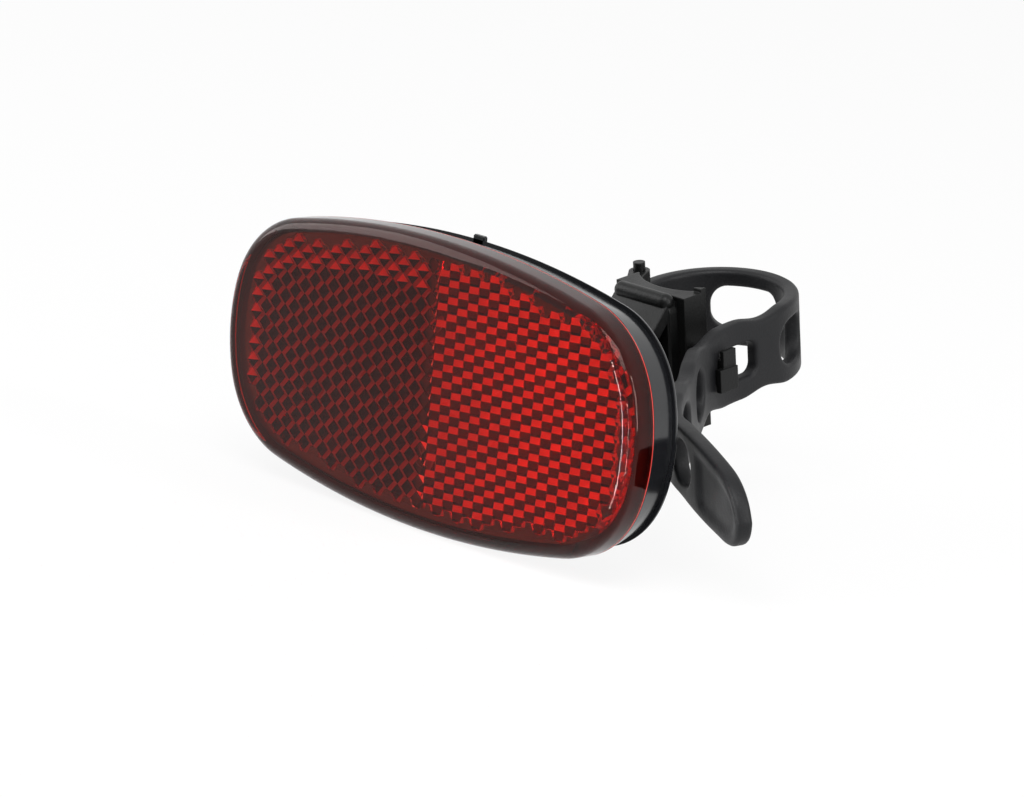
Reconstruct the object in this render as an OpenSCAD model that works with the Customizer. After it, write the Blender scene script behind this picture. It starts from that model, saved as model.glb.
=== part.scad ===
// Rear reflector for a bicycle, held on the seat post by a hooked rubber strap.
// The origin is on the seat post's axis, halfway up the strap. The reflector faces -Y and
// stands upright. The post leans by post_tilt, its top towards the reflector.

/* [Reflector outline] */
// Width of the lens and housing
face_w = 104; // [92:1:116]
// Height of the lens and housing
face_h = 50.6; // [46:0.2:56]
// Radius of the long top and bottom curves
long_r = 181; // [140:1:240]
// Radius of the curve at each end
end_r = 31.6; // [28:0.2:40]
// Radius of each corner
corner_r = 18.4; // [14:0.2:22]

/* [Lens] */
// How far the lens stands in front of the parting line
lens_proud = 5.2; // [4.6:0.1:7]
// Radius of the lens's front edge
lens_edge_r = 2; // [1:0.1:2.6]
// Thickness of the lens behind its smooth front
lens_plate = 3; // [2.2:0.1:4]
// Thickness of the lens's spigot, which locates it in the housing
spigot_t = 1; // [0.8:0.1:2]
// Length of the spigot behind the parting line
spigot_l = 1.2; // [0.6:0.1:2]
// Width across one cube corner of the prism array
prism_pitch = 2.9; // [2.6:0.1:4]
// Bare border between the prisms and the spigot
prism_border = 0.2; // [0.1:0.1:4]

/* [Housing] */
// Depth of the housing behind the parting line
housing_d = 6.9; // [6:0.1:10]
// How far the housing's sides lean in towards the back
housing_draft = 1; // [0.4:0.1:2]
// Radius of the housing's back edge
housing_edge_r = 1; // [0.6:0.1:1.6]
// Wall of the housing
housing_wall = 1.5; // [1.2:0.1:2.4]
// Diameter of each screw boss inside the housing
boss_d = 7; // [6:0.1:9]
// Distance from the parting line back to the bosses
boss_set_back = 1.6; // [1.2:0.1:2.4]
// Width of the locating tab on top of the housing
tab_w = 2.8; // [1.6:0.1:5]
// Height of the locating tab above the housing's back edge
tab_h = 1; // [0.6:0.1:2.4]

/* [Arm] */
// Distance from the seat post's axis forward to the lens's parting line
reach = 64.5; // [60:0.5:100]
// Distance from the strap's middle down to the reflector's middle
drop = 3; // [0:0.5:6]
// Width of the arm
arm_w = 13.2; // [11:0.2:15]
// Height of the arm's neck
neck_h = 12.4; // [11:0.2:16]
// Thickness of the arm's top and bottom flanges
flange_t = 2.2; // [1.6:0.1:3]
// Thickness of the arm's middle web
web_t = 2.4; // [1.8:0.1:3.4]
// Thickness of each cross rib
rib_t = 1.6; // [1.2:0.1:2.4]
// Width of the arm's foot
foot_w = 20; // [17:0.5:26]
// Height of the arm's foot
foot_h = 35; // [33:0.5:38]
// Thickness of the arm's foot
foot_t = 2.6; // [2:0.1:4]
// Distance between the two foot screws
foot_screw_gap = 24; // [23:0.5:26]
// Width of the plate at the arm's other end
end_w = 13.8; // [12:0.2:16]
// Thickness of that plate
end_t = 2; // [1.6:0.1:3]
// Radius of the round rail along the plate's top edge
rail_r = 1.5; // [1.2:0.1:1.8]
// Slope of the gussets between the neck and the plate, in degrees
gusset_slope = 57; // [45:1:70]

/* [Saddle] */
// Diameter of the seat post that the strap closes on
post_d = 25.4; // [24.6:0.2:27]
// Lean of the seat post from upright, in degrees
post_tilt = 10; // [0:1:16]
// Wall of the saddle between the post and the arm
saddle_wall = 2.2; // [2:0.1:4]
// Width of the saddle across its cheeks
saddle_w = 17.2; // [16.6:0.1:18]
// Height of the saddle above the strap's middle
saddle_top = 11.9; // [11:0.1:15]
// Depth of the saddle below the strap's middle
saddle_bottom = 12.9; // [11:0.1:15]
// Distance from the post's axis forward to the cheeks' back edges
cheek_back = 9.6; // [9.2:0.1:10.4]
// Height of the nub on top of the near cheek
nub_h = 0.7; // [0.4:0.1:2]
// Thickness of each lug that carries the pin
lug_t = 2.3; // [1.8:0.1:3]

/* [Hook] */
// Length of the hook's stem along the strap
hook_l = 3; // [2.6:0.1:3.4]
// Height of the hook
hook_h = 4.8; // [4:0.1:6]
// Distance from the post's axis forward to the hook's middle
hook_y = 13.2; // [12.6:0.1:13.4]
// Thickness of the hook's head
head_t = 1.2; // [1:0.1:2]
// How far the head's lip reaches forward of the stem
lip_l = 1.2; // [0.8:0.1:1.4]
// Height of the hook's head
head_h = 4.2; // [3.6:0.1:5]
// How far the head reaches below the strap's middle
head_low = 3.2; // [2.6:0.1:3.4]
// Height of the fin on top of the head
fin_h = 3.1; // [1.6:0.1:3.4]

/* [Strap] */
// Width of the strap
strap_w = 14.6; // [14:0.1:16]
// Thickness of the strap
strap_t = 2.8; // [2.2:0.1:3.2]
// Distance between the slots of the strap's tail
slot_pitch = 16.8; // [16:0.1:18]
// Length of each slot
slot_l = 9.2; // [8.6:0.1:10.4]
// Height of each slot
slot_h = 8.2; // [7:0.1:8.6]
// Length of the slot that is pulled over the hook
hook_slot_l = 10.6; // [9.4:0.1:11.4]
// Height of the slot that is pulled over the hook
hook_slot_h = 6.2; // [5.4:0.1:7]
// Length of the window behind the post
window_l = 15; // [10:0.2:16]
// How deep each edge dips between two slots
waist_d = 0.9; // [0.4:0.1:1.3]
// Straight run of the strap from the post's side to the first bend
lead_l = 8; // [7:0.1:12]
// Radius of the first bend
bend_r1 = 25; // [22:0.5:32]
// Angle of the first bend, in degrees
bend_a1 = 38; // [34:1:42]
// Straight run between the two bends
mid_l = 23; // [20:0.2:26]
// Radius of the second bend
bend_r2 = 20; // [16:0.5:26]
// Angle of the second bend, in degrees
bend_a2 = 28; // [20:1:32]
// Length of the pull tongue after the second bend
tongue_l = 32.5; // [30:0.2:40]
// Radius of the tongue's tip corners
tip_r = 6.6; // [5:0.1:7]
// Width of the rim round the tongue's finger recess
rim_w = 2; // [1.4:0.1:3]
// Depth of the tongue's finger recess
recess_d = 0.6; // [0.3:0.1:0.9]

/* [Pin and screws] */
// Diameter of the pin that the strap's closed end turns on
pin_d = 2.2; // [1.8:0.1:2.6]
// Height of the pin's top above the strap's middle
pin_top = 11.3; // [11:0.1:14]
// Shank diameter of the self-tapping screws
screw_d = 3.2; // [2.6:0.1:3.4]
// Head diameter of the screws
screw_head_d = 6; // [5.4:0.1:6.4]
// Head height of the foot screws
screw_head_h = 2; // [1.6:0.1:2.2]
// Length of each foot screw in the housing
screw_hold = 4.2; // [3.4:0.1:4.4]
// Length of the saddle's screw in the arm
saddle_hold = 9; // [7:0.5:12]
// Width of the cross recess in each head
cross_w = 0.9; // [0.6:0.1:1.2]

/* [Hidden] */
$fn = 96;
eps = 0.01;

// Clearance round a screw or pin, from the strap's edge to a lug, from the strap to the
// hook's stem, and from a foot screw's head to the neck
fit_gap = 0.05;
lug_gap = 0.15;
stem_gap = 0.25;
head_gap = 0.6;

// Outline of the reflector: a long arc, a corner arc and an end arc in each quarter
half_w = face_w / 2;
half_h = face_h / 2;
top_c = [0, half_h - long_r];
end_c = [half_w - end_r, 0];
corner_c = circle_meet(end_c, end_r - corner_r, top_c, long_r - corner_r);
top_turn = atan2(corner_c[1] - top_c[1], corner_c[0] - top_c[0]);
end_turn = atan2(corner_c[1] - end_c[1], corner_c[0] - end_c[0]);
TOP_STEPS = 7;
CORNER_STEPS = 10;
END_STEPS = 5;

// Where two circles meet, at the greater x
function circle_meet(a, ra, b, rb) =
    let(d = norm(b - a), u = (b - a) / d,
        m = (ra * ra - rb * rb + d * d) / (2 * d),
        h = sqrt(ra * ra - m * m))
    a + m * u + h * [u[1], -u[0]] * (u[1] < 0 ? -1 : 1);

function on_arc(c, r, t) = c + r * [cos(t), sin(t)];

// One quarter of the outline moved inwards by inset, from the end to the top
function quarter(inset) = concat(
    [for (k = [0 : END_STEPS - 1])
        on_arc(end_c, end_r - inset, end_turn * k / END_STEPS)],
    [for (k = [0 : CORNER_STEPS - 1])
        on_arc(corner_c, corner_r - inset,
               end_turn + (top_turn - end_turn) * k / CORNER_STEPS)],
    [for (k = [0 : TOP_STEPS - 1])
        on_arc(top_c, long_r - inset, top_turn + (90 - top_turn) * k / TOP_STEPS)]);

function flip(points) = [for (k = [len(points) - 1 : -1 : 0]) points[k]];
function times(points, sx, sz) = [for (p = points) [p[0] * sx, p[1] * sz]];

// The whole outline, anticlockwise as seen from the front
function outline(inset) =
    let(q = quarter(inset), top = [0, half_h - inset], side = [half_w - inset, 0],
        inner = [for (k = [1 : len(q) - 1]) q[k]])
    concat([side], inner, [top], times(flip(inner), -1, 1), [-side],
           times(inner, -1, -1), [-top], times(flip(inner), 1, -1));

// True where a point lies inside the outline moved inwards by inset
function inside(p, inset) =
    let(q = [abs(p[0]), abs(p[1])],
        t = atan2(q[1] - corner_c[1], q[0] - corner_c[0]))
    t > top_turn ? norm(q - top_c) <= long_r - inset
    : t < end_turn ? norm(q - end_c) <= end_r - inset
    : norm(q - corner_c) <= corner_r - inset;

// A closed shell through rings of [y, inset]. It starts at the first ring's flat face,
// which looks forward, and ends at the last one's, which looks back.
module shell(rings) {
    n = len(outline(0));
    last = len(rings) - 1;
    points = [for (r = rings) for (p = outline(r[1])) [p[0], r[0], p[1]]];
    walls = [for (k = [0 : last - 1]) for (i = [0 : n - 1])
        let(a = k * n + i, b = k * n + (i + 1) % n) [a, b, b + n, a + n]];
    front = [for (i = [n - 1 : -1 : 0]) i];
    back = [for (i = [0 : n - 1]) last * n + i];
    polyhedron(points = points, faces = concat([front, back], walls));
}

// The reflector's frame: its parting plane at y = 0, its middle at x = z = 0
module reflector_place() {
    translate([0, -reach, -drop]) children();
}

// The clamp's frame: z along the post
module clamp_place() {
    rotate([post_tilt, 0, 0]) children();
}
function clamp_yz(y, z) = [y * cos(post_tilt) - z * sin(post_tilt),
                           y * sin(post_tilt) + z * cos(post_tilt)];

// Lens: a rounded front, a side wall, a spigot and a flat back that carries the prisms
EDGE_STEPS = 4;
spigot_inset = housing_wall + fit_gap;
plate_back = lens_plate - lens_proud;

// Prism array: every vertex has whole coordinates, in halves of a hexagon's side along x
// and halves of the pitch along z. The left half mirrors the right one.
unit = [prism_pitch / sqrt(3) / 2, prism_pitch / 2];
prism_step = prism_pitch / sqrt(6);
prism_root = 0.5;
prism_inset = spigot_inset + spigot_t + prism_border;
HEXAGON = [[2, 0], [1, 1], [-1, 1], [-2, 0], [-1, -1], [1, -1]];
SPLIT_HEXAGON = [[2, 0], [1, 1], [0, 1], [-1, 1], [-2, 0], [-1, -1], [0, -1], [1, -1]];

function lattice(v) = [v[0] * unit[0], v[1] * unit[1]];
function cell_ring(c) = [for (o = c[0] == 0 ? SPLIT_HEXAGON : HEXAGON) c + o];
function cell_fits(c) = len([for (o = HEXAGON) if (!inside(lattice(c + o), prism_inset)) 1]) == 0;

// Height of a vertex, in steps: a cell's middle is the tip of its cube corner
function steps_up(v) =
    let(r = abs(v[0]) % 3)
    v[0] == 0 && v[1] % 2 != 0 ? 0.5 : r == 0 ? 2 : r == 2 ? 1 : 0;

// The cell beyond the side from ring offset a to ring offset b
function beyond(c, a, b) =
    let(s = a + b - 2 * c) c + [abs(s[0]) < 3 ? 0 : s[0], s[1]];

module prisms() {
    columns = ceil(half_w / unit[0] / 3);
    rows = ceil(half_h / prism_pitch);
    cells = [for (k = [-columns : columns]) for (m = [-rows : rows])
        let(c = [3 * k, 2 * m + abs(k) % 2]) if (cell_fits(c)) c];
    rings = [for (c = cells) cell_ring(c)];
    starts = [for (i = 0, at = 0; i < len(cells); at = at + 2 * len(rings[i]) + 1, i = i + 1) at];
    points = [for (i = [0 : len(cells) - 1]) each concat(
        [for (v = concat([cells[i]], rings[i]))
            [lattice(v)[0], plate_back + steps_up(v) * prism_step, lattice(v)[1]]],
        [for (v = rings[i]) [lattice(v)[0], plate_back - prism_root, lattice(v)[1]]])];
    tips = [for (i = [0 : len(cells) - 1])
        let(n = len(rings[i]), at = starts[i], first = cells[i][0] < 0 ? 1 : 0)
        for (q = [0 : n / 2 - 1])
            [at, each [for (j = [0 : 2]) at + 1 + (first + 2 * q + j) % n]]];
    roots = [for (i = [0 : len(cells) - 1])
        let(n = len(rings[i])) [for (j = [n - 1 : -1 : 0]) starts[i] + n + 1 + j]];
    walls = [for (i = [0 : len(cells) - 1])
        let(n = len(rings[i]), top = starts[i] + 1, low = top + n)
        for (j = [0 : n - 1])
            let(next = (j + 1) % n)
            if (!cell_fits(beyond(cells[i], rings[i][j], rings[i][next])))
                [low + j, low + next, top + next, top + j]];
    polyhedron(points = points, faces = concat(tips, roots, walls));
}

module reflector_lens() {
    edge = [for (k = [0 : EDGE_STEPS]) let(t = 90 * (1 - k / EDGE_STEPS))
        [-lens_proud + lens_edge_r * (1 - sin(t)), lens_edge_r * (1 - cos(t))]];
    cavity_inset = spigot_inset + spigot_t;
    color("firebrick") reflector_place() {
        shell(concat(edge, [[0, 0], [0, spigot_inset], [spigot_l, spigot_inset],
                            [spigot_l, cavity_inset], [plate_back, cavity_inset]]));
        prisms();
    }
}

// Housing: a tray, open in front, with a boss for each of the arm's screws
module at_foot_screws() {
    for (side = [-1, 1])
        translate([0, 0, side * foot_screw_gap / 2]) rotate([-90, 0, 0]) children();
}

module rear_housing() {
    floor_y = housing_d - housing_wall;
    lean_y = spigot_l + housing_wall / 4;
    edge = [for (k = [0 : EDGE_STEPS]) let(t = 90 * k / EDGE_STEPS)
        [housing_d - housing_edge_r * (1 - sin(t)),
         housing_draft + housing_edge_r * (1 - cos(t))]];
    color("dimgray") reflector_place() difference() {
        union() {
            shell(concat([[floor_y, housing_wall + housing_draft], [lean_y, housing_wall],
                          [0, housing_wall], [0, 0]], edge));
            at_foot_screws() translate([0, 0, boss_set_back])
                cylinder(d = boss_d, h = housing_d - housing_wall / 2 - boss_set_back);
            translate([-tab_w / 2, housing_d - housing_edge_r, half_h - 3 * housing_wall])
                cube([tab_w, housing_edge_r, 3 * housing_wall - housing_draft + tab_h]);
        }
        at_foot_screws() translate([0, 0, housing_d - screw_hold - housing_wall / 4])
            cylinder(d = screw_d + 2 * fit_gap, h = housing_d);
    }
}

// Arm: an I-shaped neck between a foot on the housing's back and a plate on the saddle
post_r = post_d / 2;
saddle_front = post_r + saddle_wall;
foot_y = housing_d - reach;
neck_y = foot_y + foot_t;
end_top = saddle_top - rail_r / 2;
neck_flare = foot_screw_gap / 2 - screw_head_d / 2 - head_gap - neck_h / 2;

// How far the plate and the neck end above the saddle's bottom
plate_lift = 0.5;
neck_lift = 1;
plate_corner_r = 2;

// Plastic round the saddle's screw, and free depth beyond its point
screw_cover = 1;
hole_spare = 0.5;

// Round corners on a plate drawn in its own plane
module round_plate(w, h, r) {
    square([w - 2 * r, h], center = true);
    square([w, h - 2 * r], center = true);
    for (x = [-1, 1], y = [-1, 1])
        translate([x * (w / 2 - r), y * (h / 2 - r)]) circle(r);
}

// The neck seen from the side, y to the right
module neck_side() {
    for (side = [-1, 1]) {
        edge = -drop + side * neck_h / 2;
        z = side == 1 ? end_top : neck_lift - saddle_bottom;
        end = clamp_yz(-saddle_front - end_t, z);
        run = abs(end[1] - edge) / tan(gusset_slope);
        polygon([[neck_y - eps, -drop], [neck_y - eps, edge + side * neck_flare],
                 [neck_y + neck_flare, edge], [end[0] - run, edge], end,
                 clamp_yz(-saddle_front, z),
                 [clamp_yz(-saddle_front, 0)[0], -drop]]);
    }
}

module arm_slab(w) {
    translate([-w / 2, 0, 0]) rotate([90, 0, 90]) linear_extrude(w) children();
}

module bracket_arm() {
    neck_l = clamp_yz(-saddle_front, 0)[0] - neck_y;
    RIBS = 4;
    color("black") difference() {
        union() {
            reflector_place() translate([0, housing_d + foot_t, 0]) rotate([90, 0, 0])
                linear_extrude(foot_t) round_plate(foot_w, foot_h, foot_w / 4);
            arm_slab(arm_w) difference() {
                neck_side();
                offset(delta = -flange_t) neck_side();
            }
            arm_slab(web_t) neck_side();
            arm_slab(arm_w - web_t / 2) intersection() {
                neck_side();
                for (k = [1 : RIBS])
                    translate([neck_y + neck_l * k / (RIBS + 1) - rib_t / 2, -drop - neck_h])
                        square([rib_t, 2 * neck_h]);
            }
            clamp_place() {
                translate([0, -saddle_front, (end_top - saddle_bottom + plate_lift) / 2])
                    rotate([90, 0, 0]) linear_extrude(end_t)
                        round_plate(end_w, end_top + saddle_bottom - plate_lift, plate_corner_r);
                rail();
                rotate([90, 0, 0]) translate([0, 0, saddle_front])
                    cylinder(d = 2 * screw_d, h = saddle_hold + screw_cover);
            }
        }
        reflector_place() at_foot_screws() cylinder(d = screw_d + 2 * fit_gap, h = 3 * housing_d);
        clamp_place() rotate([90, 0, 0]) translate([0, 0, post_r])
            cylinder(d = screw_d + 2 * fit_gap, h = saddle_wall + saddle_hold + hole_spare);
    }
}

module rail() {
    translate([0, -saddle_front - rail_r, end_top]) {
        rotate([0, 90, 0]) cylinder(r = rail_r, h = end_w - 2 * rail_r, center = true);
        for (side = [-1, 1]) translate([side * (end_w / 2 - rail_r), 0, 0]) sphere(rail_r);
    }
}

// Screws: a cross recess in each head
module cross(depth) {
    for (turn = [0, 90]) rotate([0, 0, turn])
        translate([-screw_head_d / 3, -cross_w / 2, 0])
            cube([screw_head_d * 2 / 3, cross_w, depth]);
}

module foot_screws() {
    color("silver") reflector_place() at_foot_screws() difference() {
        union() {
            translate([0, 0, housing_d - screw_hold])
                cylinder(d = screw_d, h = screw_hold + foot_t + eps);
            translate([0, 0, housing_d + foot_t]) cylinder(d = screw_head_d, h = screw_head_h);
        }
        translate([0, 0, housing_d + foot_t + screw_head_h / 2]) cross(screw_head_h);
    }
}

// The countersunk screw's head stops short of the post
head_set_in = 0.3;
cone_h = (screw_head_d - screw_d) / 2;

module saddle_screw() {
    color("silver") clamp_place() rotate([90, 0, 0]) translate([0, 0, post_r + head_set_in])
        difference() {
            union() {
                cylinder(d1 = screw_head_d, d2 = screw_d, h = cone_h);
                cylinder(d = screw_d, h = saddle_wall - head_set_in + saddle_hold);
            }
            translate([0, 0, -cone_h / 2]) cross(cone_h);
        }
}

// Pin: beside the post on the far side, where the strap's loop ends
pin_turn = 197;
eye_wall = 0.8;
pin_below = 0.6;
eye_r = pin_d / 2 + eye_wall;
pin_r = post_r + eye_r + fit_gap;
pin_at = pin_r * [cos(pin_turn), sin(pin_turn)];
lug_z = strap_w / 2 + lug_gap;

module strap_pin() {
    bottom = lug_z + lug_t + pin_below;
    color("black") clamp_place() translate([pin_at[0], pin_at[1], -bottom])
        cylinder(d = pin_d, h = bottom + pin_top);
}

// Saddle: a block hollowed to the post, with the pin's lugs on one side, the hook on the other
cheek_x = saddle_w / 2;
hook_front = hook_y + hook_l / 2;

module post_saddle() {
    NUB = [1.8, 1.2];
    cheek_l = saddle_front - cheek_back;

    // The head's inner face, clear of the strap's outer face where the lip ends
    hook_out = 2 * fit_gap + bend_c1[0]
        - sqrt(pow(bend_r1 - strap_t / 2, 2) - pow(hook_front + lip_l - lead_l, 2));
    color("black") clamp_place() difference() {
        union() {
            translate([-cheek_x, -saddle_front, -saddle_bottom])
                cube([saddle_w, cheek_l, saddle_bottom + saddle_top]);
            translate([cheek_x - NUB[0], -cheek_back - NUB[1], saddle_top - eps])
                cube([NUB[0], NUB[1], nub_h + eps]);
            for (side = [-1, 1]) translate([0, 0, side * (lug_z + lug_t / 2)])
                linear_extrude(lug_t, center = true) lug();
            translate([cheek_x - eps, -hook_front, -hook_h / 2])
                cube([hook_out - cheek_x + head_t / 2, hook_l, hook_h]);
            translate([hook_out, -hook_front - lip_l, -head_low])
                cube([head_t, hook_l + lip_l, head_h]);
            translate([hook_out, -hook_front, head_h - head_low - eps])
                cube([head_t * 2 / 3, hook_l, fin_h + eps]);
        }
        cylinder(r = post_r, h = 4 * saddle_top, center = true);
        rotate([90, 0, 0]) translate([0, 0, post_r + head_set_in - fit_gap])
            cylinder(d1 = screw_head_d + 2 * fit_gap, d2 = screw_d + 2 * fit_gap, h = cone_h);
        rotate([90, 0, 0]) cylinder(d = screw_d + 2 * fit_gap, h = 2 * saddle_front);
        rotate([90, 0, 0]) cylinder(d = screw_head_d + 2 * fit_gap, h = post_r + head_set_in);
        translate(pin_at) cylinder(d = pin_d + 2 * fit_gap, h = 4 * saddle_top, center = true);
    }
}

// A lug in plan, from the far cheek out to the pin
module lug() {
    LUG_SINK = 1;
    LUG_INSET = 0.6;
    root_x = LUG_SINK - cheek_x;
    turn = atan2(pin_at[1] + (saddle_front + cheek_back) / 2, pin_at[0] - root_x);
    translate(pin_at) circle(eye_r);
    polygon([[root_x, LUG_INSET - saddle_front], on_arc(pin_at, eye_r, turn + 90),
             on_arc(pin_at, eye_r, turn - 90), [root_x, -cheek_back - LUG_INSET]]);
}

// Strap: its middle line runs from the pin round behind the post, then forward and outward.
// Distances along it count from where it leaves the post's near side.
strap_r = post_r + strap_t / 2;
function degrees(arc, r) = arc / r * 180 / PI;
s_start = -strap_r * pin_turn * PI / 180;
s_bend1 = lead_l;
s_mid = s_bend1 + bend_r1 * bend_a1 * PI / 180;
s_bend2 = s_mid + mid_l;
s_tongue = s_bend2 + bend_r2 * bend_a2 * PI / 180;
bend_c1 = [strap_r + bend_r1, -lead_l];
mid_at = on_arc(bend_c1, bend_r1, 180 + bend_a1);
bend_c2 = mid_at + mid_l * [sin(bend_a1), -cos(bend_a1)]
        + bend_r2 * [cos(bend_a1), sin(bend_a1)];
tongue_at = on_arc(bend_c2, bend_r2, 180 + bend_a1 + bend_a2);

// Turn of the strap's outward face from +x, and its middle line, at a distance along it
function strap_turn(s) =
    s < 0 ? degrees(-s, strap_r)
    : s < s_bend1 ? 0
    : s < s_mid ? degrees(s - s_bend1, bend_r1)
    : s < s_bend2 ? bend_a1
    : s < s_tongue ? bend_a1 + degrees(s - s_bend2, bend_r2)
    : bend_a1 + bend_a2;

function along(at, turn, l) = at + l * [sin(turn), -cos(turn)];
function strap_at(s) =
    let(turn = strap_turn(s))
    s < 0 ? on_arc([0, 0], strap_r, turn)
    : s < s_bend1 ? [strap_r, -s]
    : s < s_mid ? on_arc(bend_c1, bend_r1, 180 + turn)
    : s < s_bend2 ? along(mid_at, turn, s - s_mid)
    : s < s_tongue ? on_arc(bend_c2, bend_r2, 180 + turn)
    : along(tongue_at, turn, s - s_tongue);
function strap_side(s, out) = on_arc(strap_at(s), out, strap_turn(s));

// The slot over the hook ends at hook_s, where it bears on the stem's front. It is pulled
// long and low. The others keep their pitch from it.
hook_s = lead_l + bend_r1 * asin((hook_front - lead_l) / bend_r1) * PI / 180 + stem_gap;
TAIL_SLOTS = [-1, 1, 2, 3];
LAST_SLOT = 3;
WINDOW_TURN = 105;
SLOT_R = 3.4;
HOOK_SLOT_R = 1.8;
function slot_s(k) = hook_s - slot_l / 2 + k * slot_pitch;

// The tongue's finger pad starts a rim's width past the last slot
s_pad = slot_s(LAST_SLOT) + slot_l / 2 + rim_w;
pad_l = s_tongue + tongue_l - s_pad;

// Moves a shape to the strap's middle line: x outward, y back along the strap, z up the post
module on_strap(s) {
    translate(strap_at(s)) rotate([0, 0, strap_turn(s)]) children();
}

function steps(from, to, n) = [for (k = [0 : n - 1]) from + (to - from) * k / n];

// The strap's band in plan, up to the finger pad. Round the post its inner side goes a little
// into the bore, which then cuts it true.
module band() {
    bore_cut = [0.4, 0.07];
    loop = steps(s_start, 0, 36);
    tail = concat(steps(s_bend1, s_mid, 10), [s_mid], steps(s_bend2, s_tongue, 8), [s_tongue, s_pad]);
    polygon(concat(
        [for (s = concat(loop, [0], tail)) strap_side(s, strap_t / 2)],
        flip([for (s = tail) strap_side(s, -strap_t / 2)]),
        [strap_side(0, -strap_t / 2 - bore_cut[1])],
        flip([for (s = loop) strap_side(s, -strap_t / 2 - bore_cut[0])])));
    translate(pin_at) circle(eye_r);
}

// A shape drawn in the strap's own surface, x back along the strap, cut right through it
module through_strap(depth) {
    rotate([90, 0, 90]) linear_extrude(depth, center = true) children();
}

// The dip in both edges between two slots
module waist() {
    half_l = (2 * slot_pitch - slot_l) / 4;
    r = (half_l * half_l + waist_d * waist_d) / (2 * waist_d);
    for (side = [-1, 1])
        translate([0, side * (strap_w / 2 - waist_d + r)]) circle(r);
}

module pad_outline(inset) {
    w = strap_w - 2 * inset;
    r = tip_r - inset;
    l = pad_l - inset;
    translate([r - l, -w / 2]) square([l - r, w]);
    translate([-l, r - w / 2]) square([2 * r, w - 2 * r]);
    for (side = [-1, 1]) translate([r - l, side * (w / 2 - r)]) circle(r);
}

module rubber_strap() {
    color("black") clamp_place() difference() {
        union() {
            linear_extrude(strap_w, center = true) band();
            on_strap(s_pad) through_strap(strap_t) pad_outline(0);
        }
        cylinder(r = post_r, h = 2 * strap_w, center = true);
        translate(pin_at) cylinder(d = pin_d + 2 * fit_gap, h = 2 * strap_w, center = true);
        for (k = TAIL_SLOTS) on_strap(slot_s(k))
            through_strap(3 * strap_t) round_plate(slot_l, slot_h, SLOT_R);
        on_strap(hook_s - hook_slot_l / 2)
            through_strap(3 * strap_t) round_plate(hook_slot_l, hook_slot_h, HOOK_SLOT_R);
        on_strap(-strap_r * WINDOW_TURN * PI / 180)
            through_strap(3 * strap_t) round_plate(window_l, slot_h, SLOT_R);
        for (k = [0 : LAST_SLOT]) on_strap(slot_s(k - 0.5))
            through_strap(3 * strap_t) waist();
        on_strap(s_pad) translate([-strap_t, -rim_w / 4, 0])
            through_strap(strap_t + 2 * recess_d) difference() {
                pad_outline(rim_w);
                translate([-rim_w / 4, 0]) square([rim_w, strap_w], center = true);
            }
    }
}

reflector_lens();
rear_housing();
bracket_arm();
foot_screws();
post_saddle();
saddle_screw();
rubber_strap();
strap_pin();
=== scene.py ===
import math

import bmesh
import bpy
import numpy as np
from mathutils import Matrix, Vector
from mathutils.geometry import delaunay_2d_cdt


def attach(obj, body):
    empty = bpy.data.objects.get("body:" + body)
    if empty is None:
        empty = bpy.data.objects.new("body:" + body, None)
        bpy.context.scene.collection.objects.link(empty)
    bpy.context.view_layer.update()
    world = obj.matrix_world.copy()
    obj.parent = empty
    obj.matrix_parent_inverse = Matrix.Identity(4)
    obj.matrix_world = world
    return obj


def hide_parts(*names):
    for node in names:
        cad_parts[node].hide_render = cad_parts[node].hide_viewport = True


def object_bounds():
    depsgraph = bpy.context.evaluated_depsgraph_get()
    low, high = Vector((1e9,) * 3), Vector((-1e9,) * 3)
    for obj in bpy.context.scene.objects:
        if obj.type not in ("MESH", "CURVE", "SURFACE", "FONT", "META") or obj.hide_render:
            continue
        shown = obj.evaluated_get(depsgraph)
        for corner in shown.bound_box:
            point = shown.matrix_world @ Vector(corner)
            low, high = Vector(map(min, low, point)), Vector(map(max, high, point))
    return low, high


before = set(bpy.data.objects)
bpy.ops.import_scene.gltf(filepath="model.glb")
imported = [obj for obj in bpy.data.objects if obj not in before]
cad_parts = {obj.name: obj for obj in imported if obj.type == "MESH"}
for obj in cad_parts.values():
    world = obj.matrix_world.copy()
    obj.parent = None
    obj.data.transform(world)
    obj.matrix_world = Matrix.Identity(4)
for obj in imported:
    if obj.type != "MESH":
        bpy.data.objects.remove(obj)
cad_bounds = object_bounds()

MM = 0.001

# Clamp: the seat post's axis leans forward at its top. Its frame has z along the post.
POST_R = 12.7
CLAMP = Matrix.Rotation(math.radians(10), 4, "X")

# Reflector: its frame has the parting plane at y = 0 and the front towards -y
REACH, DROP = 64.5, 3.0
REFLECTOR = Matrix.Translation((0, -REACH, -DROP))


def arc_point(centre, r, degrees):
    """A point on a circle, its angle in degrees."""
    t = math.radians(degrees)
    return Vector((centre[0] + r * math.cos(t), centre[1] + r * math.sin(t)))


def new_piece(name, bm, mat, place, node, smooth=30):
    """A mesh piece in metres from a bmesh in millimetres. It replaces a CAD node."""
    mesh = bpy.data.meshes.new(name)
    bmesh.ops.transform(bm, matrix=Matrix.Scale(MM, 4) @ place, verts=bm.verts)
    bmesh.ops.recalc_face_normals(bm, faces=bm.faces)
    bm.to_mesh(mesh)
    bm.free()
    piece = bpy.data.objects.new(name, mesh)
    bpy.context.scene.collection.objects.link(piece)
    for m in mat if isinstance(mat, list) else [mat]:
        mesh.materials.append(m)
    mesh.shade_smooth()
    mesh.set_sharp_from_angle(angle=math.radians(smooth))
    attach(piece, "root")
    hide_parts(node)
    return piece


# Materials

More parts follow.
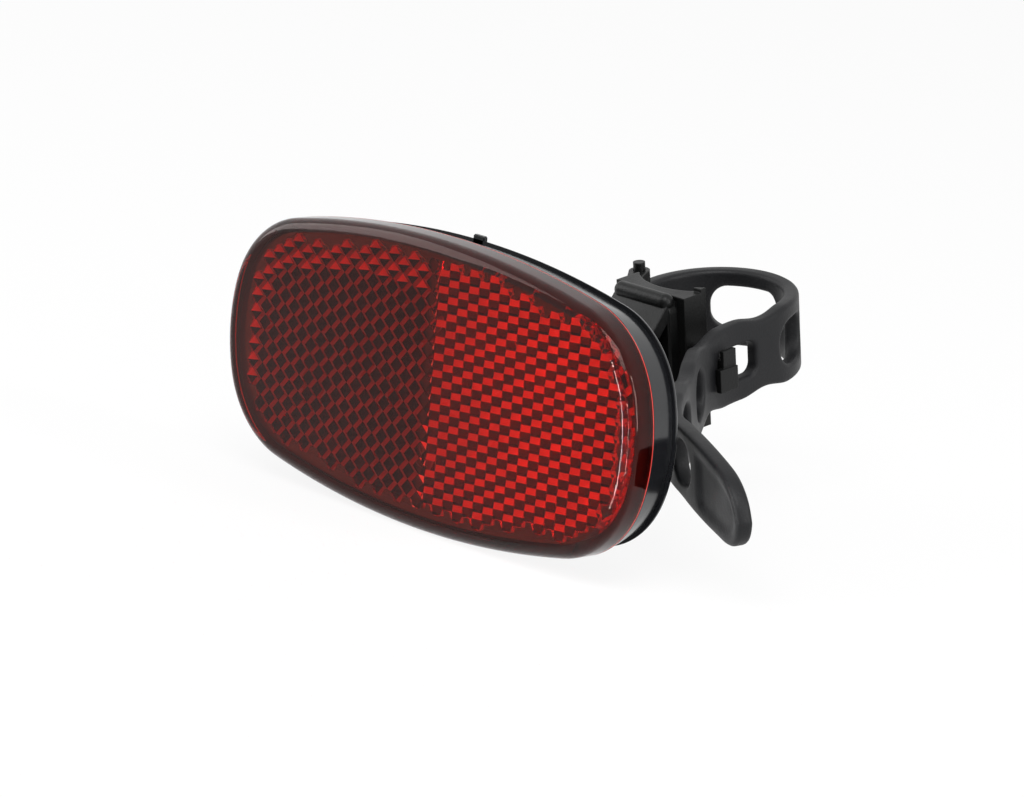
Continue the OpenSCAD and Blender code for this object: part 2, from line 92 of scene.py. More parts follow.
GLOSS_SPREAD = 0.08
ACRYLIC_IOR = 1.49
def new_material(name):
    """A material, its tree, its Principled shader and a function that adds a linked node."""
    mat = bpy.data.materials.new(name)
    mat.use_nodes = True
    tree = mat.node_tree

    def add(kind, inputs=None, **settings):
        node = tree.nodes.new(kind)
        for key, value in settings.items():
            setattr(node, key, value)
        for key, value in (inputs or {}).items():
            if isinstance(value, bpy.types.NodeSocket):
                tree.links.new(value, node.inputs[key])
            else:
                node.inputs[key].default_value = value
        return node

    return mat, tree, tree.nodes["Principled BSDF"], add


def set_inputs(shader, **values):
    for key, value in values.items():
        shader.inputs[key.replace("_", " ")].default_value = value


def moulded(name, colour, rough, grain, bump, round_r, sheen=0.5):
    """Moulded plastic or rubber: a fine grain, slow changes of gloss and softened edges."""
    mat, tree, shader, add = new_material(name)
    coords = add("ShaderNodeTexCoord").outputs["Object"]
    fine = add("ShaderNodeTexNoise", {"Vector": coords, "Scale": grain, "Detail": 3.0})
    slow = add("ShaderNodeTexNoise", {"Vector": coords, "Scale": 90.0, "Detail": 4.0})
    gloss = add("ShaderNodeMapRange", {"Value": slow.outputs["Fac"], "From Min": 0.3,
                                       "From Max": 0.7, "To Min": rough - GLOSS_SPREAD,
                                       "To Max": rough + GLOSS_SPREAD})
    tint = add("ShaderNodeMixRGB", {"Fac": slow.outputs["Fac"],
                                    "Color1": (*[c * 0.8 for c in colour], 1),
                                    "Color2": (*[c * 1.2 for c in colour], 1)})
    skin = add("ShaderNodeBump", {"Height": fine.outputs["Fac"], "Strength": bump,
                                  "Distance": 0.0002})
    if round_r:
        edge = add("ShaderNodeBevel", {"Radius": round_r * MM}, samples=8)
        tree.links.new(edge.outputs["Normal"], skin.inputs["Normal"])
    tree.links.new(gloss.outputs["Result"], shader.inputs["Roughness"])
    tree.links.new(tint.outputs["Color"], shader.inputs["Base Color"])
    tree.links.new(skin.outputs["Normal"], shader.inputs["Normal"])
    set_inputs(shader, IOR=1.5, Specular_IOR_Level=sheen)
    return mat


def clear_red(name, mirror):
    """Clear red acrylic: smooth, refracting, red through its depth. Mirror tints reflections."""
    mat, tree, shader, add = new_material(name)
    set_inputs(shader, IOR=ACRYLIC_IOR, Roughness=0.0)
    shader.inputs["Transmission Weight"].default_value = 1.0
    shader.inputs["Specular Tint"].default_value = (*mirror, 1)
    shader.inputs["Base Color"].default_value = (1.0, 0.25, 0.15, 1)
    depth = add("ShaderNodeVolumeAbsorption", {"Color": (0.93, 0.03, 0.0, 1),
                                               "Density": 150.0})
    tree.links.new(depth.outputs["Volume"], tree.nodes["Material Output"].inputs["Volume"])
    return mat


def steel(name):
    """Zinc-plated steel with fine turning marks."""
    mat, tree, shader, add = new_material(name)
    coords = add("ShaderNodeTexCoord").outputs["Object"]
    marks = add("ShaderNodeTexNoise", {"Vector": coords, "Scale": 1800.0, "Detail": 2.0})
    gloss = add("ShaderNodeMapRange", {"Value": marks.outputs["Fac"], "To Min": 0.22,
                                       "To Max": 0.42})
    tree.links.new(gloss.outputs["Result"], shader.inputs["Roughness"])
    set_inputs(shader, Metallic=1.0)
    shader.inputs["Base Color"].default_value = (0.6, 0.6, 0.58, 1)
    return mat


RED = clear_red("clear_red_acrylic", (1, 1, 1))
# Tinted reflections, which clear acrylic does not have, keep a grey veil off the front
FRONT_RED = clear_red("front_red_acrylic", (0.4, 0.1, 0.07))
EDGE_RED = clear_red("edge_red_acrylic", (0.5, 0.35, 0.33))
# Opaque reds that paint the pattern of the photograph's one view onto some prism facets: painted
# light on some facets and painted shade on others, in place of the light that clear prisms send
# back
PAINTED_LIGHT_RED = moulded("painted_light_prism_red", (0.85, 0.08, 0.045), 0.3, 2600.0, 0.0, 0, 0.1)
PAINTED_SHADE_RED = moulded("painted_shade_prism_red", (0.3, 0.02, 0.012), 0.3, 2600.0, 0.0, 0, 0.1)
# Painted highlight: opaque bright red for the lens's edge at the parting line, where it catches
# light
RIM_PAINTED_HIGHLIGHT = moulded("rim_painted_highlight_red", (0.72, 0.05, 0.035), 0.3, 2600.0, 0.0, 0)
# Painted shade: opaque near-black red for the lens's back and spigot, which lie in shade inside the
# housing
SPIGOT_PAINTED_SHADE = moulded("spigot_painted_shade_red", (0.035, 0.006, 0.005), 0.6, 2600.0, 0.0, 0, 0.1)
HOUSING = moulded("housing_plastic", (0.009, 0.0095, 0.011), 0.2, 2600.0, 0.06, 0, 0.32)
BRACKET = moulded("bracket_plastic", (0.004, 0.0042, 0.0042), 0.4, 2200.0, 0.25, 0.35, 0.22)
RUBBER = moulded("black_rubber", (0.006, 0.0062, 0.0072), 0.5, 3000.0, 0.3, 0, 0.25)
STEEL = steel("zinc_steel")

for node, mat in {"reflector_lens": RED, "rear_housing": HOUSING, "bracket_arm": BRACKET,
                  "foot_screws": STEEL, "post_saddle": BRACKET, "saddle_screw": STEEL,
                  "rubber_strap": RUBBER, "strap_pin": BRACKET}.items():
    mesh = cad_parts[node].data
    mesh.materials.clear()
    mesh.materials.append(mat)

# Reflector outline: a long arc, a corner arc and an end arc in each quarter
FACE_W, FACE_H = 104.0, 50.6
LONG_R, END_R, CORNER_R = 181.0, 31.6, 18.4
LENS_PROUD, LENS_EDGE_R = 5.2, 2.2
RIM_T = 0.15
PAINTED_LIGHT_BAND_W, PAINTED_LIGHT_BAND_LOW = 7.5, -9.0
PLATE_BACK = 3.0 - LENS_PROUD
SPIGOT_L, SPIGOT_INSET, CAVITY_INSET, PRISM_INSET = 1.2, 1.55, 2.55, 2.75
PITCH = 2.9
HOUSING_D, HOUSING_DRAFT, HOUSING_EDGE_R, HOUSING_WALL = 6.9, 1.0, 1.0, 1.5
TOP_C = Vector((0, FACE_H / 2 - LONG_R))
END_C = Vector((FACE_W / 2 - END_R, 0))


def circle_meet(a, ra, b, rb):
    """Where two circles meet, at the greater x."""
    d = (b - a).length
    u = (b - a) / d
    m = (ra * ra - rb * rb + d * d) / (2 * d)
    return a + m * u + math.sqrt(ra * ra - m * m) * Vector((-u.y, u.x))


CORNER_C = circle_meet(END_C, END_R - CORNER_R, TOP_C, LONG_R - CORNER_R)
TOP_TURN = math.degrees(math.atan2(CORNER_C.y - TOP_C.y, CORNER_C.x - TOP_C.x))
END_TURN = math.degrees(math.atan2(CORNER_C.y - END_C.y, CORNER_C.x - END_C.x))


def outline(inset):
    """The reflector's outline moved inwards, anticlockwise as seen from the front."""
    quarter = []
    for c, r, t0, t1, n in ((END_C, END_R, 0, END_TURN, 9),
                            (CORNER_C, CORNER_R, END_TURN, TOP_TURN, 16),
                            (TOP_C, LONG_R, TOP_TURN, 90, 14)):
        quarter += [arc_point(c, r - inset, t0 + (t1 - t0) * k / n) for k in range(n)]
    top, inner = Vector((0, FACE_H / 2 - inset)), quarter[1:]
    right = quarter + [top] + [Vector((-p.x, p.y)) for p in reversed(inner)]
    return right + [-p for p in right]


def inside(p, inset):
    """Whether a point lies inside the outline moved inwards."""
    q = Vector((abs(p[0]), abs(p[1])))
    t = math.degrees(math.atan2(q.y - CORNER_C.y, q.x - CORNER_C.x))
    c, r = (TOP_C, LONG_R) if t > TOP_TURN else (END_C, END_R) if t < END_TURN else (
        CORNER_C, CORNER_R)
    return (q - c).length <= r - inset


def rounded(y0, inset0, r, steps, front):
    """Rings of [y, inset] round a quarter circle at the front or back edge."""
    rings = []
    for k in range(steps + 1):
        t = math.radians(90 * k / steps)
        if front:
            rings.append((y0 + r * (1 - math.cos(t)), inset0 + r * (1 - math.sin(t))))
        else:
            rings.append((y0 - r * (1 - math.sin(t)), inset0 + r * (1 - math.cos(t))))
    return rings


def add_rings(bm, rings):
    """Walls through rings of [y, inset]. Gives the loops of vertices."""
    loops = [[bm.verts.new((p.x, y, p.y)) for p in outline(inset)] for y, inset in rings]
    for a, b in zip(loops, loops[1:]):
        n = len(a)
        for i in range(n):
            bm.faces.new((a[i], a[(i + 1) % n], b[(i + 1) % n], b[i]))
    return loops


LENS_MATERIALS = [RED, RIM_PAINTED_HIGHLIGHT, SPIGOT_PAINTED_SHADE, FRONT_RED, PAINTED_LIGHT_RED, PAINTED_SHADE_RED, EDGE_RED]

# Lens: every vertex of the prisms has whole lattice coordinates
UNIT = (PITCH / math.sqrt(3) / 2, PITCH / 2)
STEP = PITCH / math.sqrt(6)
HEXAGON = ((2, 0), (1, 1), (-1, 1), (-2, 0), (-1, -1), (1, -1))
SPLIT_HEXAGON = ((2, 0), (1, 1), (0, 1), (-1, 1), (-2, 0), (-1, -1), (0, -1), (1, -1))
FLIP = True


def lattice(v):
    return (v[0] * UNIT[0], v[1] * UNIT[1])


def steps_up(v):
    """Height of a vertex in steps: a cell's middle is the tip of its cube corner."""
    r = abs(v[0]) % 3
    if v[0] == 0 and v[1] % 2:
        return 1 if FLIP else 0.5
    return 2 if r == 0 else int(r == 1) if FLIP else int(r == 2)


def prism_cells():
    columns, rows = int(FACE_W / 2 / UNIT[0] / 3) + 1, int(FACE_H / 2 / PITCH) + 1
    return [(3 * k, 2 * m + abs(k) % 2)
            for k in range(-columns, columns + 1) for m in range(-rows, rows + 1)
            if all(inside(lattice((3 * k + a, 2 * m + abs(k) % 2 + b)), PRISM_INSET)
                   for a, b in HEXAGON)]


def in_painted_light_band(p):
    """Whether a cell of the left field lies in the band along its top and its end, where half a
    facet gets painted light.
    """
    return not inside(p, PAINTED_LIGHT_BAND_W + max(0, p[1]) / 8) and p[1] > PAINTED_LIGHT_BAND_LOW


def build_lens():
    bm = bmesh.new()
    edge = rounded(-LENS_PROUD, 0, LENS_EDGE_R, 14, True)
    loops = add_rings(bm, edge + [(-RIM_T, 0), (0, 0), (0, RIM_T), (0, SPIGOT_INSET),
                                  (SPIGOT_L, SPIGOT_INSET), (SPIGOT_L, CAVITY_INSET),
                                  (PLATE_BACK, CAVITY_INSET)])
    bm.faces.new(reversed(loops[0]))
    verts = {}

    def at(v, steps=None):
        h = steps_up(v) if steps is None else steps
        if (v, h) not in verts:
            x, z = lattice(v)
            verts[v, h] = bm.verts.new((x, PLATE_BACK + h * STEP, z))
        return verts[v, h]

    cells = prism_cells()
    sides, painted_light_faces, painted_shade_faces = {}, [], []
    for c in cells:
        ring = [(c[0] + a, c[1] + b) for a, b in (SPLIT_HEXAGON if c[0] == 0 else HEXAGON)]
        n = len(ring)
        first = int(c[0] >= 0) if FLIP else int(c[0] < 0)
        for q in range(n // 2):
            corners = [ring[(first + 2 * q + j) % n] for j in range(3)]
            # Left of the middle column, the upper half of one facet gets painted light inside the
            # band
            if c[0] < 0 and q == 1:
                upper = bm.faces.new([at(v) for v in (c, *corners[:2])])
                bm.faces.new([at(v) for v in (c, *corners[1:])])
                if in_painted_light_band(lattice(c)):
                    painted_light_faces.append(upper)
                continue
            face = bm.faces.new([at(v) for v in (c, *corners)])
            # Painted light on one facet of each cell right of the middle column, painted shade on
            # two facets of each cell left of it
            if c[0] > 0 and q == 0:
                painted_light_faces.append(face)
            elif c[0] < 0:
                painted_shade_faces.append(face)
        for a, b in zip(ring, ring[1:] + ring[:1]):
            sides[a, b] = True
    border = [(a, b) for a, b in sides if (b, a) not in sides]
    for a, b in border:
        quad = [at(a), at(b)] + [at(v, 0) for v in (b, a) if steps_up(v)]
        if len(quad) > 2:
            bm.faces.new(quad)
    # The bare back of the plate, between the prisms and the spigot
    cavity = loops[-1]
    plan = [Vector((v.co.x, v.co.z)) for v in cavity]
    n = len(plan)
    edges = [(i, (i + 1) % n) for i in range(n)]
    rim = list(dict.fromkeys(v for side in border for v in side))
    index = {v: n + i for i, v in enumerate(rim)}
    plan += [Vector(lattice(v)) for v in rim]
    edges += [(index[a], index[b]) for a, b in border]
    out, _, faces, originals, _, _ = delaunay_2d_cdt(plan, edges, [], 0, 1e-4)
    corner = [cavity[o[0]] if o[0] < n else at(rim[o[0] - n], 0) for o in originals]
    taken = set(cells)
    for f in faces:
        x, z = sum((out[i] for i in f), Vector((0, 0))) / 3
        u, w = x / UNIT[0], z / UNIT[1]
        near = min(((3 * k, 2 * m + abs(k) % 2)
                    for k in range(int(u / 3) - 2, int(u / 3) + 3)
                    for m in range(int(w / 2) - 2, int(w / 2) + 3)),
                   key=lambda c: math.hypot(*(p - q for p, q in zip(lattice(c), (x, z)))))
        if near not in taken and inside((x, z), CAVITY_INSET):
            bm.faces.new([corner[i] for i in f])
    # Painted highlight on the rim: opaque bright red at the parting line, where the edge catches
    # light. Painted shade behind it: opaque near-black red on the lens's back and spigot, which lie
    # in shade on and inside the housing
    ring_of = {v: k for k, loop in enumerate(loops) for v in loop}
    for f in bm.faces:
        k = min(ring_of.get(v, -1) for v in f.verts)
        if 0 <= k < len(loops) - 1:
            mat = EDGE_RED if k < len(edge) else RIM_PAINTED_HIGHLIGHT if k < len(edge) + 2 else SPIGOT_PAINTED_SHADE
            f.material_index = LENS_MATERIALS.index(FRONT_RED if len(f.verts) > 4 else mat)
    # The facets with painted light and painted shade
    for f in painted_light_faces:
        f.material_index = LENS_MATERIALS.index(PAINTED_LIGHT_RED)
    for f in painted_shade_faces:
        f.material_index = LENS_MATERIALS.index(PAINTED_SHADE_RED)
    return new_piece("lens_clear", bm, LENS_MATERIALS, REFLECTOR,
                     "reflector_lens", smooth=25)


build_lens()


def lathe(bm, profile, place=None, n=48):
    """A closed turned shape from a profile of (r, z), ends on the axis or not."""
    rings = []
    for r, z in profile:
        if r < 1e-6:
            rings.append([bm.verts.new((0, 0, z))])
        else:
            rings.append([bm.verts.new((*arc_point((0, 0), r, 360 * k / n), z)) for k in range(n)])
    for a, b in zip(rings, rings[1:]):
        for i in range(n):
            j = (i + 1) % n
            quad = [a[i % len(a)], a[j % len(a)], b[j % len(b)], b[i % len(b)]]
            quad = list(dict.fromkeys(quad))
            if len(quad) > 2:
                bm.faces.new(quad)
    if place is not None:
        bmesh.ops.transform(bm, matrix=place, verts=[v for ring in rings for v in ring])


# Housing: a tray with screw bosses and a small tab on top
BOSS_D, BOSS_SET_BACK, FOOT_SCREW_GAP = 7.0, 1.6, 24.0
SCREW_HOLE_R, SCREW_HOLD = 1.65, 4.2
TAB_W, TAB_H = 2.8, 1.0


def box(bm, lo, hi, bevel):
    """A bevelled block between two corners."""
    made = bmesh.ops.create_cube(bm, size=1)["verts"]
    size = [b - a for a, b in zip(lo, hi)]
    for v in made:
        v.co = [a + (c + 0.5) * s for a, c, s in zip(lo, v.co, size)]
    edges = list({e for v in made for e in v.link_edges})
    bmesh.ops.bevel(bm, geom=edges, offset=bevel, segments=3, affect="EDGES")


def build_housing():
    bm = bmesh.new()
    floor_y = HOUSING_D - HOUSING_WALL
    loops = add_rings(bm, [(floor_y, HOUSING_WALL + HOUSING_DRAFT + 0.6),
                           (floor_y - 0.6, HOUSING_WALL + HOUSING_DRAFT),
                           (SPIGOT_L + HOUSING_WALL / 4, HOUSING_WALL), (0.15, HOUSING_WALL),
                           (0.01, HOUSING_WALL - 0.15), (0.01, 0.15), (0.15, 0.0)]
                      + rounded(HOUSING_D, HOUSING_DRAFT, HOUSING_EDGE_R, 8, False)[::-1])
    bm.faces.new(reversed(loops[0]))
    bm.faces.new(loops[-1])
    for side in (-1, 1):
        lathe(bm, [(SCREW_HOLE_R, HOUSING_D - SCREW_HOLD), (SCREW_HOLE_R, BOSS_SET_BACK),
                   (BOSS_D / 2 - 0.2, BOSS_SET_BACK), (BOSS_D / 2, BOSS_SET_BACK + 0.2),
                   (BOSS_D / 2, floor_y + 0.3)],
              Matrix.Translation((0, 0, side * FOOT_SCREW_GAP / 2))
              @ Matrix.Rotation(-math.pi / 2, 4, "X"))
    box(bm, (-TAB_W / 2, HOUSING_D - HOUSING_EDGE_R, FACE_H / 2 - 3 * HOUSING_WALL),
        (TAB_W / 2, HOUSING_D, FACE_H / 2 - HOUSING_DRAFT + TAB_H - 0.3), 0.2)
    return new_piece("housing_tray", bm, HOUSING, REFLECTOR, "rear_housing")


build_housing()

# Strap: its path round the post and out along the tail
STRAP_W, STRAP_T = 14.6, 2.8
STRAP_R = POST_R + STRAP_T / 2
PIN_TURN = 197
LEAD_L = 8
BEND_R1, BEND_A1 = 25, 38
MID_L = 23
BEND_R2, BEND_A2 = 20, 28
SLOT_PITCH, SLOT_L, SLOT_H, SLOT_R = 16.8, 9.2, 8.2, 3.4
HOOK_SLOT_L, HOOK_SLOT_H, HOOK_SLOT_R = 10.6, 6.2, 1.8
WINDOW_L, WINDOW_TURN = 16.0, 105
TONGUE_SLOT, TONGUE_SLOT_R = 7.6, 3.3
HOOK_FRONT, STEM_GAP = 14.7, 0.25
RIM_W, RECESS_D = 2.0, 0.6
EDGE_R = 0.8
EYE_R, PIN_R = 1.9, 1.1
PIN_AT = arc_point((0, 0), POST_R + EYE_R + 0.05, PIN_TURN)


def ahead(turn):
    """The way that the strap runs where its outward face has turned by this much."""
    t = math.radians(turn)
    return Vector((math.sin(t), -math.cos(t)))


# Distances along the strap count from where it leaves the post's near side
S_START = -STRAP_R * math.radians(PIN_TURN)
S_MID = LEAD_L + BEND_R1 * math.radians(BEND_A1)
S_BEND2 = S_MID + MID_L
S_TONGUE = S_BEND2 + BEND_R2 * math.radians(BEND_A2)
BEND_C1 = Vector((STRAP_R + BEND_R1, -LEAD_L))
MID_AT = arc_point(BEND_C1, BEND_R1, 180 + BEND_A1)
BEND_C2 = arc_point(MID_AT + MID_L * ahead(BEND_A1), BEND_R2, BEND_A1)
TONGUE_AT = arc_point(BEND_C2, BEND_R2, 180 + BEND_A1 + BEND_A2)
HOOK_S = LEAD_L + BEND_R1 * math.asin((HOOK_FRONT - LEAD_L) / BEND_R1) + STEM_GAP


def slot_s(k):
    return HOOK_S - SLOT_L / 2 + k * SLOT_PITCH


S_PAD = slot_s(3) + SLOT_L / 2 + RIM_W


def strap_turn(s):
    """How far the strap's outward face has turned from +X, in degrees."""
    if s < 0:
        return math.degrees(-s / STRAP_R)
    if s < LEAD_L:
        return 0.0
    if s < S_MID:
        return math.degrees((s - LEAD_L) / BEND_R1)
    if s < S_BEND2:
        return BEND_A1
    if s < S_TONGUE:
        return BEND_A1 + math.degrees((s - S_BEND2) / BEND_R2)
    return BEND_A1 + BEND_A2


def strap_at(s):
    """The strap's middle line in the clamp's plan."""
    turn = strap_turn(s)
    if s < 0:
        return arc_point((0, 0), STRAP_R, turn)
    if s < LEAD_L:
        return Vector((STRAP_R, -s))
    if s < S_MID:
        return arc_point(BEND_C1, BEND_R1, 180 + turn)
    if s < S_BEND2:
        return MID_AT + (s - S_MID) * ahead(turn)
    if s < S_TONGUE:
        return arc_point(BEND_C2, BEND_R2, 180 + turn)
    return TONGUE_AT + (s - S_TONGUE) * ahead(turn)


# The strap's two edges, (s, w): upper and lower. The tongue droops a little.
WAIST = 0.9
TONGUE_TOP = ((46, 7.2), (50, 6.7), (54, 6.3), (60, 6.5), (66.6, 6.3), (72.5, 5.9), (79.3, 5.1),
              (83, 3.8), (85.6, 1.6), (86.9, -1.2))
TONGUE_LOW = ((46, -7.2), (50, -6.7), (54, -6.0), (58.8, -6.1), (64.7, -6.8), (70.7, -7.2),
              (76.6, -7.3), (80.5, -7.3), (83.6, -6.6), (85.8, -4.9), (86.9, -2.6))


def waisted(s):
    """Half the strap's width before the tongue, with a soft dip between two slots."""
    half_l = (2 * SLOT_PITCH - SLOT_L) / 4
    dips = [abs(s - slot_s(k - 0.5)) / half_l for k in range(3)]
    return STRAP_W / 2 - 0.1 - sum(WAIST * (1 + math.cos(math.pi * d)) / 2 for d in dips if d < 1)


def spline(points, per_mm):
    """A smooth open curve through points."""
    out = []
    p = [2 * Vector(points[0]) - Vector(points[1]), *map(Vector, points),
         2 * Vector(points[-1]) - Vector(points[-2])]
    for a, b, c, d in zip(p, p[1:], p[2:], p[3:]):
        n = max(2, int((c - b).length * per_mm))
        for k in range(n):
            t = k / n
            out.append(0.5 * (2 * b + (c - a) * t + (2 * a - 5 * b + 4 * c - d) * t * t
                              + (3 * b - a - 3 * c + d) * t ** 3))
    return out + [p[-2]]


def strap_outline():
    """The strap's outline as (s, w), clockwise from the pin along the upper edge."""
    n = int((TONGUE_TOP[0][0] - S_START) / 0.6)
    ss = [S_START + (TONGUE_TOP[0][0] - S_START) * k / n for k in range(n)]
    upper = [Vector((s, waisted(s))) for s in ss]
    lower = [Vector((s, -waisted(s))) for s in ss]
    tip = spline((*TONGUE_TOP, *reversed(TONGUE_LOW)), 1.7)
    return upper + tip + lower[::-1]


def rounded_slot(s, w, length, height, r, grow):
    """A slot's outline with round corners, grown by some distance."""
    r2, points = r + grow, []
    for k, (sx, sy) in enumerate(((1, 1), (-1, 1), (-1, -1), (1, -1))):
        cx, cy = s + sx * (length / 2 - r), w + sy * (height / 2 - r)
        points += [arc_point((cx, cy), r2, 90 * k + 90 * i / 9) for i in range(10)]
    dense = []
    for a, b in zip(points, points[1:] + points[:1]):
        n = max(1, int((b - a).length / 0.7))
        dense += [a + (b - a) * i / n for i in range(n)]
    return dense


def inset_loop(loop, d):
    """A closed loop moved to its inside, for a loop that runs clockwise."""
    out, n = [], len(loop)
    for i in range(n):
        t = (loop[(i + 1) % n] - loop[i - 1]).normalized()
        out.append(loop[i] + d * Vector((t.y, -t.x)))
    return out


def contains(loop, points):
    """Which points lie inside a closed loop."""
    x, y = points[:, 0], points[:, 1]
    hit = np.zeros(len(points), bool)
    for a, b in zip(loop, loop[1:] + loop[:1]):
        cross = (a.y > y) != (b.y > y)
        if a.y != b.y:
            hit ^= cross & (x < (b.x - a.x) * (y - a.y) / (b.y - a.y) + a.x)
    return hit


def build_strap():
    slots = [(slot_s(k), 0.0, SLOT_L, SLOT_H, SLOT_R) for k in (-1, 1, 2)]
    slots += [(slot_s(3), 0.3, TONGUE_SLOT, TONGUE_SLOT, TONGUE_SLOT_R),
              (HOOK_S - HOOK_SLOT_L / 2, 0.0, HOOK_SLOT_L, HOOK_SLOT_H, HOOK_SLOT_R),
              (-STRAP_R * math.radians(WINDOW_TURN), 0.0, WINDOW_L, SLOT_H, SLOT_R)]
    outer = strap_outline()
    insets = [EDGE_R * (1 - math.cos(math.radians(90 * k / 4))) for k in range(5)]
    heights = [STRAP_T / 2 - EDGE_R * (1 - math.sin(math.radians(90 * k / 4))) for k in range(5)]
    plan, height, edges = [], [], []

    def add_loop(loop, h):
        start = len(plan)
        plan.extend(loop)
        height.extend([h] * len(loop))
        edges.extend((start + i, start + (i + 1) % len(loop)) for i in range(len(loop)))

    for d, h in zip(insets, heights):
        add_loop(inset_loop(outer, d), h)
        for slot in slots:
            add_loop(rounded_slot(*slot, d), h)
    # Inner points, clear of all edges
    gs, gw = np.meshgrid(np.arange(S_START + 0.5, 88, 0.55), np.arange(-7.7, 7.71, 0.55))
    grid = np.stack([gs.ravel(), gw.ravel()], 1)
    keep = contains(inset_loop(outer, EDGE_R + 0.25), grid)
    for slot in slots:
        keep &= ~contains(rounded_slot(*slot, EDGE_R + 0.25), grid)
    for s, w in grid[keep]:
        plan.append(Vector((s, w)))
        height.append(STRAP_T / 2)
    out, _, faces, originals, _, _ = delaunay_2d_cdt(plan, edges, [], 0, 1e-5)
    flat = np.array([tuple(p) for p in out])
    known = np.array([i for i, o in enumerate(originals) if o])
    source = [o[0] if o else originals[known[((flat[known] - flat[i]) ** 2).sum(1).argmin()]][0]
              for i, o in enumerate(originals)]
    height = [height[k] for k in source]
    mid = np.array([tuple(sum((out[i] for i in f), Vector((0, 0))) / 3) for f in faces])
    keep = contains(outer, mid)
    for slot in slots:
        keep &= ~contains(rounded_slot(*slot, 0), mid)
    # The finger recess on the side towards the post
    edge = np.array([tuple(p) for p in outer])
    gap = np.full(len(out), 99.0)
    near = flat[:, 0] > S_PAD - 1
    gap[near] = np.sqrt(((flat[near, None] - edge[None]) ** 2).sum(2)).min(1)
    soft = lambda x: np.clip(x, 0, 1) ** 2 * (3 - 2 * np.clip(x, 0, 1))
    dish = RECESS_D * soft((gap - 1.3) / 2.0) * soft((flat[:, 0] - S_PAD + 0.5) / 3.0) * near
    bm = bmesh.new()
    sides = []
    for sign in (1, -1):
        verts = []
        for i, p in enumerate(out):
            q = arc_point(strap_at(p.x), sign * (height[i] - (dish[i] if sign < 0 else 0)),
                          strap_turn(p.x))
            verts.append(bm.verts.new((q.x, q.y, p.y)))
        sides.append(verts)
        for f, k in zip(faces, keep):
            if k:
                bm.faces.new([verts[i] for i in (f if sign > 0 else reversed(f))])
    top_index = {v: i for i, v in enumerate(sides[0])}
    rim = [e for e in bm.edges if len(e.link_faces) == 1 and e.verts[0] in top_index]
    for e in rim:
        a, b = (top_index[v] for v in e.verts)
        bm.faces.new((sides[0][a], sides[0][b], sides[1][b], sides[1][a]))
    bmesh.ops.delete(bm, geom=[v for v in bm.verts if not v.link_faces], context="VERTS")
    # The closed end turns on the pin
    h, r = STRAP_W / 2 - 0.1, 0.4
    lathe(bm, [(PIN_R + 0.05, h - r), (PIN_R + 0.15, h), (EYE_R - r, h), (EYE_R - 0.1, h - 0.1),
               (EYE_R, h - r), (EYE_R, r - h), (EYE_R - 0.1, 0.1 - h), (EYE_R - r, -h),
               (PIN_R + 0.15, -h), (PIN_R + 0.05, r - h), (PIN_R + 0.05, h - r)],
          Matrix.Translation((*PIN_AT, 0)))
    return new_piece("strap_band", bm, RUBBER, CLAMP, "rubber_strap", smooth=50)


build_strap()

# Camera: the photograph's view, a long lens from the front right and a little above
CAM_AZ, CAM_EL, CAM_ROLL = 46.75, 13.1, 4.55
CAM_DIST, CAM_RIGHT, CAM_UP = 832.0, 11.96, -2.79
FOCAL_PX, IMAGE_W = 4900.0, 1024.0
SENSOR = 36.0

az, el, roll = (math.radians(a) for a in (CAM_AZ, CAM_EL, CAM_ROLL))
back = Vector((math.sin(az) * math.cos(el), -math.cos(az) * math.cos(el), math.sin(el)))
level = (-back).cross(Vector((0, 0, 1))).normalized()
upright = level.cross(-back)
right = math.cos(roll) * level + math.sin(roll) * upright
up = -math.sin(roll) * level + math.cos(roll) * upright
eye = back * CAM_DIST + right * CAM_RIGHT + up * CAM_UP - Vector((0, REACH, DROP))
camera = bpy.data.objects.new("camera", bpy.data.cameras.new("camera"))
camera.matrix_world = Matrix.Translation(eye * MM) @ Matrix((right, up, back)).transposed().to_4x4()
camera.data.sensor_width = SENSOR
camera.data.sensor_fit = "HORIZONTAL"
camera.data.lens = SENSOR * FOCAL_PX / IMAGE_W
camera.data.clip_start = 0.01
camera.data.clip_end = 20
bpy.context.scene.collection.objects.link(camera)
bpy.context.scene.camera = camera


def seen_directly(tree):
    """1 for rays that show the background, straight on, mirrored or through glass."""
    rays = tree.nodes.new("ShaderNodeLightPath")
    total = rays.outputs["Is Camera Ray"]
    for kind in ("Is Glossy Ray", "Is Transmission Ray"):
        larger = tree.nodes.new("ShaderNodeMath")
        larger.operation = "MAXIMUM"
        tree.links.new(total, larger.inputs[0])
        tree.links.new(rays.outputs[kind], larger.inputs[1])
        total = larger.outputs[0]
    return total


# World: white where it is seen, softer as light
world = bpy.data.worlds.new("studio")
bpy.context.scene.world = world
world.use_nodes = True
strength = world.node_tree.nodes.new("ShaderNodeMapRange")
strength.inputs["To Min"].default_value = 0.5
strength.inputs["To Max"].default_value = 1.0
links = world.node_tree.links
links.new(seen_directly(world.node_tree), strength.inputs["Value"])
links.new(strength.outputs["Result"], world.node_tree.nodes["Background"].inputs["Strength"])
world.node_tree.nodes["Background"].inputs["Color"].default_value = (1, 1, 1, 1)


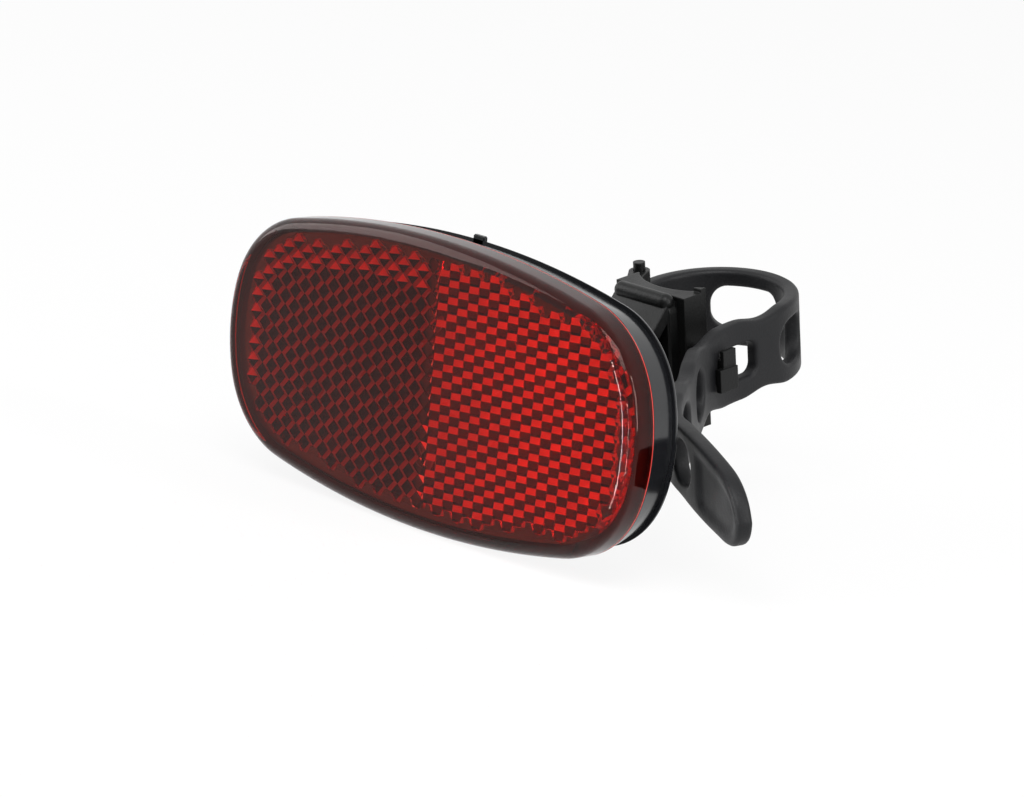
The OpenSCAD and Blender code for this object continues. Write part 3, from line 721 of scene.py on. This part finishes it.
def area_light(name, at, target, width, height, power):
    """A soft box at a place in the row frame, in metres, turned to a target."""
    data = bpy.data.lights.new(name, "AREA")
    data.shape = "RECTANGLE"
    data.size, data.size_y = width, height
    data.energy = power
    lamp = bpy.data.objects.new(name, data)
    lamp.location = at
    lamp.rotation_euler = (Vector(target) - Vector(at)).to_track_quat("-Z", "Y").to_euler()
    bpy.context.scene.collection.objects.link(lamp)
    return lamp


MIDDLE = (0, -0.04, 0)
area_light("key_box", (0.35, -0.5, 0.75), MIDDLE, 0.7, 0.5, 6)
area_light("right_strip", (0.9, 0.1, 0.25), MIDDLE, 0.12, 0.7, 4)
area_light("left_fill", (-0.9, -0.6, 0.4), MIDDLE, 0.6, 0.8, 4)
# Two small lamps close to the reflector's right end, for the bright lines on its front edge
LENS_END = Vector((50, -REACH - LENS_PROUD, -8))
LAMP_AWAY, LAMP_H = 40, 38
for name, turn, width, power in (("edge_lamp_a", -33, 3, 0.018), ("edge_lamp_b", 24, 2, 0.008)):
    t = math.radians(turn)
    at = LENS_END + LAMP_AWAY * Vector((math.sin(t), -math.cos(t), 0))
    lamp = area_light(name, at * MM, LENS_END * MM, width * MM, LAMP_H * MM, power)
    lamp.visible_camera = False

# Floor: pale paper that turns to the background's white away from the object's shadow
FLOOR_GAP = 0.05
FLOOR_WHITE = 0.88
half = 3.0
z = cad_bounds[0][2] - FLOOR_GAP * MM
floor_mesh = bpy.data.meshes.new("floor")
floor_mesh.from_pydata([(-half, -half, z), (half, -half, z), (half, half, z), (-half, half, z)],
                       [], [(0, 1, 2, 3)])
floor = bpy.data.objects.new("floor", floor_mesh)
bpy.context.scene.collection.objects.link(floor)
floor_mat, floor_tree, floor_shader, add = new_material("floor_paper")
set_inputs(floor_shader, Roughness=0.9)
floor_shader.inputs["Base Color"].default_value = (0.9, 0.9, 0.9, 1)
share = add("ShaderNodeMapRange", {"Value": seen_directly(floor_tree), "To Max": FLOOR_WHITE})
mix = add("ShaderNodeMixShader", {"Fac": share.outputs["Result"]})
floor_tree.links.new(floor_shader.outputs["BSDF"], mix.inputs[1])
floor_tree.links.new(add("ShaderNodeEmission").outputs["Emission"], mix.inputs[2])
floor_tree.links.new(mix.outputs["Shader"], floor_tree.nodes["Material Output"].inputs["Surface"])
floor_mesh.materials.append(floor_mat)

bpy.context.scene.view_settings.view_transform = "Standard"
